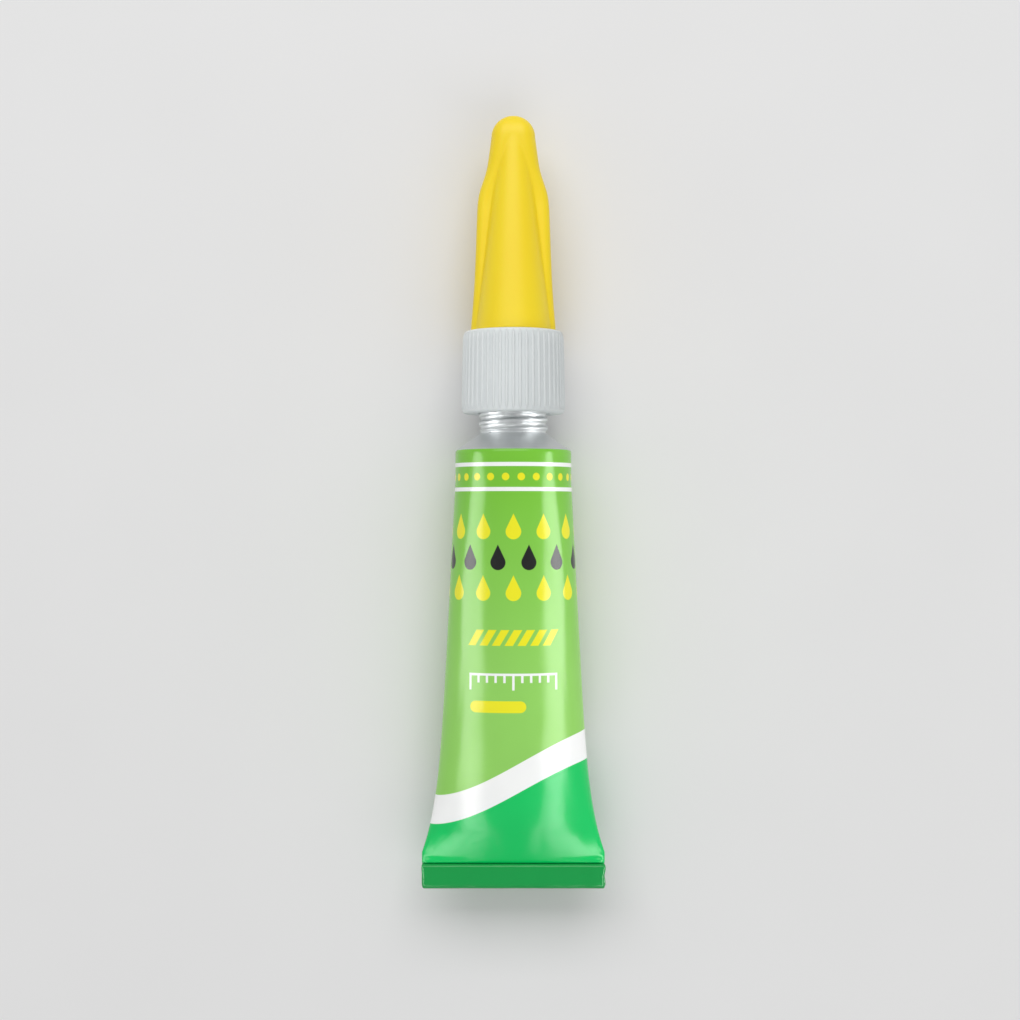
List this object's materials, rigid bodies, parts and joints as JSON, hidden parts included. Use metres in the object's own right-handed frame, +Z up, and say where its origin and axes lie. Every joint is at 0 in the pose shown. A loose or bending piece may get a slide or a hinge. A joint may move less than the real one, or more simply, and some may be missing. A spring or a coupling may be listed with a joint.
{
  "type": "super glue tube",
  "caption": "Aluminium glue tube with a flat folded tail, a ribbed screw-on nozzle whose spike pierces the sealed neck, and a winged screw cap.",
  "frame": {"origin": "under the middle of the tube's length, on the surface that it lies on", "axes": "+Y along the tube from the folded tail to the cap, +Z up out of the printed front, +X to the right of the front seen with the cap up"},
  "size_m": [0.0188, 0.0798, 0.012],
  "materials": {
    "enamelled_aluminium": "glossy green enamel print on bare aluminium",
    "bare_aluminium": "bare drawn aluminium",
    "sealing_compound": "dried latex",
    "liquid_glue": "clear liquid",
    "natural_polyethylene": "milky, slightly translucent moulding",
    "yellow_polyethylene": "satin yellow moulding",
    "pin_steel": "drawn steel wire"
  },
  "bodies": {
    "tube": {"tube": "enamelled_aluminium", "tail_sealant": "sealing_compound", "adhesive_fill": "liquid_glue"},
    "membrane": {"neck_membrane": "bare_aluminium"},
    "nozzle": {"nozzle": "natural_polyethylene"},
    "cap_pin": {"cap_pin": "pin_steel"},
    "cap": {"cap": "yellow_polyethylene"}
  },
  "joints": [
    {"name": "nozzle_turn", "type": "hinge", "parent": "tube", "child": "membrane", "pos_m": [0, 0.01, 0.006], "axis": [0, 1, 0], "range_deg": [-817, 1721]},
    {"name": "nozzle_travel", "type": "slide", "parent": "membrane", "child": "nozzle", "axis": [0, 1, 0], "range_m": [-0.00204, 0.0043], "deforming": ["neck_membrane"]},
    {"name": "cap_travel", "type": "slide", "parent": "nozzle", "child": "cap_pin", "axis": [0, 1, 0], "range_m": [0, 0.018]},
    {"name": "cap_turn", "type": "hinge", "parent": "cap_pin", "child": "cap", "pos_m": [0, 0.03, 0.006], "axis": [0, 1, 0], "range_deg": [0, 2161]}
  ],
  "couplings": [
    {"joint": "nozzle_turn", "follows": "nozzle_travel", "rad_per_m": 6981.3},
    {"joint": "cap_turn", "follows": "cap_travel", "rad_per_m": 2094.4}
  ]
}
